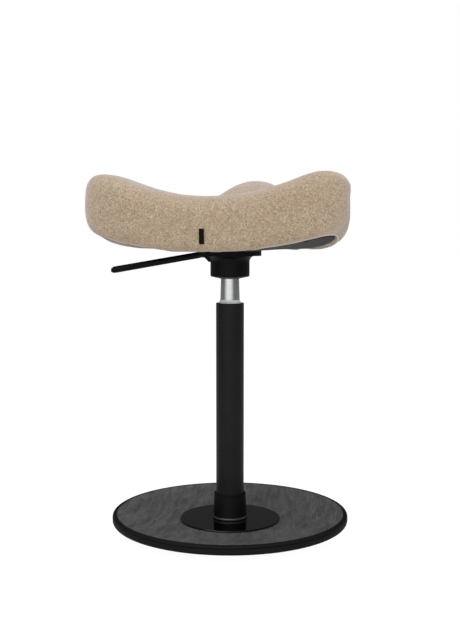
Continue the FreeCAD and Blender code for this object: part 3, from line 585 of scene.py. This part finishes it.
def hem_line(piece, inset, drop, steps):
    """Points this far below the underside of a piece and inside its outline, all round."""
    tree = BVHTree.FromObject(piece, bpy.context.evaluated_depsgraph_get())
    low, high = (Vector(corner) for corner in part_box("seat_cushion"))
    up = Vector((0, 0, 1))
    below = up * (low.z - 100 * MM)
    points = []
    for i in range(steps):
        angle = math.tau * i / steps
        outwards = Vector((math.cos(angle), math.sin(angle), 0))
        inside, outside = 0.0, (high - low).length
        while outside - inside > 0.1 * MM:
            reach = (inside + outside) / 2
            hit = tree.ray_cast(outwards * reach + below, up)[0]
            inside, outside = (reach, outside) if hit else (inside, reach)
        start = outwards * (inside - inset) + below
        points.append(tree.ray_cast(start, up)[0] - up * drop)
    return points


class STOOL_OT_upholstery(bpy.types.Operator):
    """Make the saddle seat's tight woven cover over moulded foam, with the binding along its lower edge"""
    bl_idname = "stool.upholstery"
    bl_label = "Upholstery"

    def execute(self, context):
        sizes = context.scene.stool_sizes
        colours = context.scene.stool_colours
        weave = wool_blend_weave("wool_blend_weave", sizes, colours.yarn_dark, colours.yarn_mid,
                                 colours.yarn_light)
        piece = remeshed_copy("seat_cushion", "seat_upholstery", sizes.voxel)
        settle(piece, 6)
        cover = BVHTree.FromObject(NODES["underside_cover"], context.evaluated_depsgraph_get())
        near_cover = 26 * MM
        fill_with_foam(piece, sizes.swell, lambda co: cover.find_nearest(co, near_cover)[0] is not None)
        subdivide = piece.modifiers.new("fine", "SUBSURF")
        subdivide.levels = subdivide.render_levels = 1
        piece.data.polygons.foreach_set("use_smooth", [True] * len(piece.data.polygons))
        dress(weave, piece.name)
        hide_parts("seat_cushion")
        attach(piece, "carriage")
        line = hem_line(piece, sizes.binding_inset, sizes.binding_drop, HEM_STEPS)
        binding = bead("hem_binding", line, sizes.binding / 2)
        # The binding is woven in pale colours as a painted highlight of the roll catching light.
        dress(wool_blend_weave("wool_blend_binding_painted_highlight", sizes, colours.yarn_light, colours.binding,
                               colours.binding), binding.name)
        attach(binding, "carriage")
        return {"FINISHED"}


class STOOL_OT_label(bpy.types.Operator):
    """Finish the small bare label at the seat's rear edge"""
    bl_idname = "stool.label"
    bl_label = "Label"

    def execute(self, context):
        dress(woven_tape(context.scene.stool_colours.label), "rear_label")
        return {"FINISHED"}


class STOOL_OT_underside(bpy.types.Operator):
    """Finish what closes the seat from below: felt-faced cover and board"""
    bl_idname = "stool.underside"
    bl_label = "Underside"

    def execute(self, context):
        dress(needle_felt(context.scene.stool_colours.felt), "underside_cover")
        dress(birch_plywood(), "seat_board")
        return {"FINISHED"}


class STOOL_OT_fasteners(bpy.types.Operator):
    """Finish the screws, nuts, bolts and pins"""
    bl_idname = "stool.fasteners"
    bl_label = "Fasteners"

    def execute(self, context):
        colours = context.scene.stool_colours
        bright = ("board_nuts", "lever_pin", "base_bolts")
        black = ("hub_screws", "cover_screws")
        dress(plated_steel("zinc_plated_steel", colours.steel), *bright)
        dress(plated_steel("black_oxide_steel", colours.oxide), *black)
        for name in bright + black:
            shade_smooth(NODES[name])
        return {"FINISHED"}


class STOOL_OT_hub(bpy.types.Operator):
    """Finish the cast hub under the seat"""
    bl_idname = "stool.hub"
    bl_label = "Hub"

    def execute(self, context):
        dress(moulded_nylon("moulded_nylon_hub", context.scene.stool_colours.nylon, 0.45), "seat_hub")
        shade_smooth(NODES["seat_hub"])
        return {"FINISHED"}


class STOOL_OT_lever(bpy.types.Operator):
    """Finish the height lever's moulded grip and steel arm"""
    bl_idname = "stool.lever"
    bl_label = "Lever"

    def execute(self, context):
        sizes = context.scene.stool_sizes
        colours = context.scene.stool_colours
        dress(moulded_nylon("moulded_nylon_grip", colours.nylon, 0.5), "lever_grip")
        dress(powder_coat("powder_coat_arm", sizes, colours.black_coat, 0.45, 0.04 * MM, 0.5), "lever_arm")
        for name in ("lever_grip", "lever_arm"):
            shade_smooth(NODES[name])
        return {"FINISHED"}


class STOOL_OT_gas_spring(bpy.types.Operator):
    """Finish the gas spring: chromed cylinder, rod, bearing, seals and valve"""
    bl_idname = "stool.gas_spring"
    bl_label = "Gas spring"

    def execute(self, context):
        colours = context.scene.stool_colours
        dress(ground_chromed_steel("ground_chromed_cylinder", colours.chrome, 0.2), "pressure_cylinder")
        bright = ground_chromed_steel("ground_steel", colours.steel, 0.22)
        dress(bright, "piston_rod", "piston", "rod_clip", "release_pin", "bearing_lower_race",
              "bearing_upper_race", "bearing_balls")
        dress(nitrile_rubber(), "piston_ring", "rod_seal", "rod_bumper", "floor_pad")
        dress(turned_brass(), "valve_body")
        nylon = moulded_nylon("moulded_nylon_guides", colours.nylon, 0.42)
        dress(nylon, "rod_guide", "bearing_cage")
        dress(natural_acetal(colours.acetal), "guide_bushing")
        for name in ("pressure_cylinder", "piston_rod", "guide_bushing", "valve_body", "release_pin"):
            shade_smooth(NODES[name])
        return {"FINISHED"}


class STOOL_OT_column(bpy.types.Operator):
    """Finish the column tube and its sleeve, and lay the weld at the sleeve's foot"""
    bl_idname = "stool.column"
    bl_label = "Column"

    def execute(self, context):
        sizes = context.scene.stool_sizes
        colours = context.scene.stool_colours
        dress(powder_coat("powder_coat_tube", sizes, colours.tube_coat, 0.34, 0.03 * MM, 0.12),
              "column_tube", "tube_end_plate")
        dress(powder_coat("powder_coat_socket", sizes, colours.black_coat, 0.5, 0.05 * MM, 0.13),
              "column_socket")
        for name in ("column_tube", "column_socket"):
            shade_smooth(NODES[name])
        low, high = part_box("column_socket")
        radius = high[0] - sizes.weld / 2
        level = low[2] + sizes.weld / 2
        angles = [math.tau * i / WELD_STEPS for i in range(WELD_STEPS)]
        circle = [(radius * math.cos(a), radius * math.sin(a), level) for a in angles]
        weld = bead("socket_weld", circle, sizes.weld / 2)
        # The weld's coat is lighter than the sleeve's: painted highlight of the ring.
        dress(powder_coat("powder_coat_weld_painted_highlight", sizes, colours.painted_highlight_weld_coat, 0.4, 0.02 * MM, 0.9), weld.name)
        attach(weld, "base")
        return {"FINISHED"}


class STOOL_OT_base(bpy.types.Operator):
    """Finish the dished wooden plate and the steel disc on it"""
    bl_idname = "stool.base"
    bl_label = "Base"

    def execute(self, context):
        sizes = context.scene.stool_sizes
        colours = context.scene.stool_colours
        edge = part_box("base_plate")[1]
        dress(black_stained_ash(sizes, colours, edge[0] - sizes.edge_band, edge[2] - sizes.lip), "base_plate")
        dress(powder_coat("powder_coat_disc", sizes, colours.disc_coat, 0.1, 0.005 * MM, 1.0), "base_disc")
        for name in ("base_plate", "base_disc"):
            shade_smooth(NODES[name])
        return {"FINISHED"}


class STOOL_OT_studio(bpy.types.Operator):
    """Set up the pale floor, the soft lights, the white surroundings and the camera"""
    bl_idname = "stool.studio"
    bl_label = "Studio"

    def execute(self, context):
        scene = context.scene
        studio = scene.stool_studio
        scene.view_settings.view_transform = "Standard"
        self.surroundings(scene, studio)
        self.floor(studio)
        towards = Vector((math.sin(CAMERA_SIDE), -math.cos(CAMERA_SIDE), 0))
        right = Vector((-towards.y, towards.x, 0))
        above = Vector((-0.3, -0.5, 2.4))
        left_spot = self.spot(towards * 2.3 - right * 0.9, 1.3)
        right_spot = self.spot(towards * 1.2 + right * 1.98, 0.9)
        self.softbox("softbox_top", above, 2.2, studio.top_light, True)
        self.softbox("softbox_left", left_spot, 1.6, studio.left_light, False)
        self.softbox("softbox_right", right_spot, 1.4, studio.right_light, False)
        data = bpy.data.cameras.new("camera")
        data.sensor_fit = "VERTICAL"
        data.sensor_height = 24.0
        data.lens = studio.lens
        camera = new_piece("camera", data)
        camera.location = self.spot(towards * studio.distance, studio.height)
        camera.rotation_euler = (math.pi / 2 - studio.pitch, 0, CAMERA_SIDE)
        scene.camera = camera
        return {"FINISHED"}

    def spot(self, across, height):
        """Place above a point of the floor."""
        return across + Vector((0, 0, height))

    def softbox(self, name, place, side, power, mirrored):
        """Square lamp that points at the stool's middle; only a mirrored one shows in reflections."""
        middle = Vector((0, 0, 0.3))
        light = bpy.data.lights.new(name, "AREA")
        light.size = side
        light.energy = power
        lamp = new_piece(name, light)
        lamp.visible_glossy = mirrored
        lamp.location = place
        lamp.rotation_euler = (middle - place).to_track_quat("-Z", "Y").to_euler()

    def surroundings(self, scene, studio):
        """White all round to the eye; reflections show dark walls with a pale screen behind the camera."""
        world = bpy.data.worlds.new("studio")
        scene.world = world
        world.use_nodes = True
        tree = world.node_tree
        tree.nodes.clear()
        path = add(tree, "ShaderNodeLightPath")
        place = add(tree, "ShaderNodeTexCoord")
        facing = add(tree, "ShaderNodeVectorMath", {"operation": "DOT_PRODUCT"},
                     {1: (math.sin(SCREEN_SIDE), -math.cos(SCREEN_SIDE), 0)}, {0: (place, "Generated")})
        # The screen fades out towards 60 degrees from its middle.
        walls = add(tree, "ShaderNodeValToRGB",
                    {"stops": ((0.5, grey(studio.wall)), (0.96, grey(studio.screen)))},
                    links={"Fac": (facing, "Value")})
        seen = add(tree, "ShaderNodeBackground", values={"Strength": 1.0, "Color": (1, 1, 1, 1)})
        mirrored = add(tree, "ShaderNodeBackground", values={"Strength": 1.0}, links={"Color": walls})
        room = add(tree, "ShaderNodeBackground", values={"Strength": studio.room, "Color": (1, 1, 1, 1)})
        gloss = add(tree, "ShaderNodeMixShader", links={0: (path, "Is Glossy Ray"), 1: room, 2: mirrored})
        clear = add(tree, "ShaderNodeMixShader", links={0: (path, "Is Transmission Ray"), 1: gloss, 2: seen})
        final = add(tree, "ShaderNodeMixShader", links={0: (path, "Is Camera Ray"), 1: clear, 2: seen})
        add(tree, "ShaderNodeOutputWorld", links={"Surface": final})

    def floor(self, studio):
        """Pale matt floor that keeps a faint shadow."""
        half = studio.floor / 2
        mesh = bpy.data.meshes.new("floor")
        mesh.from_pydata([(-half, -half, 0), (half, -half, 0), (half, half, 0), (-half, half, 0)], [],
                         [(0, 1, 2, 3)])
        floor = new_piece("floor", mesh)
        floor.location.z = -0.5 * MM
        material, tree = new_finish("pale_matt_floor")
        path = add(tree, "ShaderNodeLightPath")
        matt = add(tree, "ShaderNodeBsdfDiffuse", values={"Color": (0.8, 0.8, 0.8, 1)})
        glow = add(tree, "ShaderNodeEmission", values={"Color": (1, 1, 1, 1), "Strength": studio.floor_glow})
        # Most of what the camera sees of the floor is its glow, so its shadows stay faint.
        share = add(tree, "ShaderNodeMath", {"operation": "MULTIPLY"}, {1: 0.82},
                    {0: (path, "Is Camera Ray")})
        mixed = add(tree, "ShaderNodeMixShader", links={0: share, 1: matt, 2: glow})
        add(tree, "ShaderNodeOutputMaterial", links={"Surface": mixed})
        mesh.materials.append(material)


OPERATORS = (STOOL_OT_base, STOOL_OT_column, STOOL_OT_gas_spring, STOOL_OT_hub, STOOL_OT_lever,
             STOOL_OT_underside, STOOL_OT_fasteners, STOOL_OT_upholstery, STOOL_OT_label, STOOL_OT_studio)


class STOOL_PT_sidebar(bpy.types.Panel):
    """List the stool's parts, sizes and colours"""
    bl_label = "Perch Stool"
    bl_space_type = "VIEW_3D"
    bl_region_type = "UI"
    bl_category = "Stool"

    def draw(self, context):
        for operator in OPERATORS:
            self.layout.operator(operator.bl_idname)
        for group in (context.scene.stool_sizes, context.scene.stool_colours, context.scene.stool_studio):
            box = self.layout.box()
            for name in group.bl_rna.properties.keys():
                if name not in ("rna_type", "name"):
                    box.prop(group, name)


GROUPS = {"stool_sizes": StoolSizes, "stool_colours": StoolColours, "stool_studio": StoolStudio}


def register():
    for group in GROUPS.values():
        bpy.utils.register_class(group)
    for operator in OPERATORS:
        bpy.utils.register_class(operator)
    bpy.utils.register_class(STOOL_PT_sidebar)
    for name, group in GROUPS.items():
        setattr(bpy.types.Scene, name, PointerProperty(type=group))


def unregister():
    for name in GROUPS:
        delattr(bpy.types.Scene, name)
    bpy.utils.unregister_class(STOOL_PT_sidebar)
    for operator in reversed(OPERATORS):
        bpy.utils.unregister_class(operator)
    for group in GROUPS.values():
        bpy.utils.unregister_class(group)


def main():
    register()
    for operator in OPERATORS:
        group, name = operator.bl_idname.split(".")
        getattr(getattr(bpy.ops, group), name)()


if __name__ == "__main__":
    main()
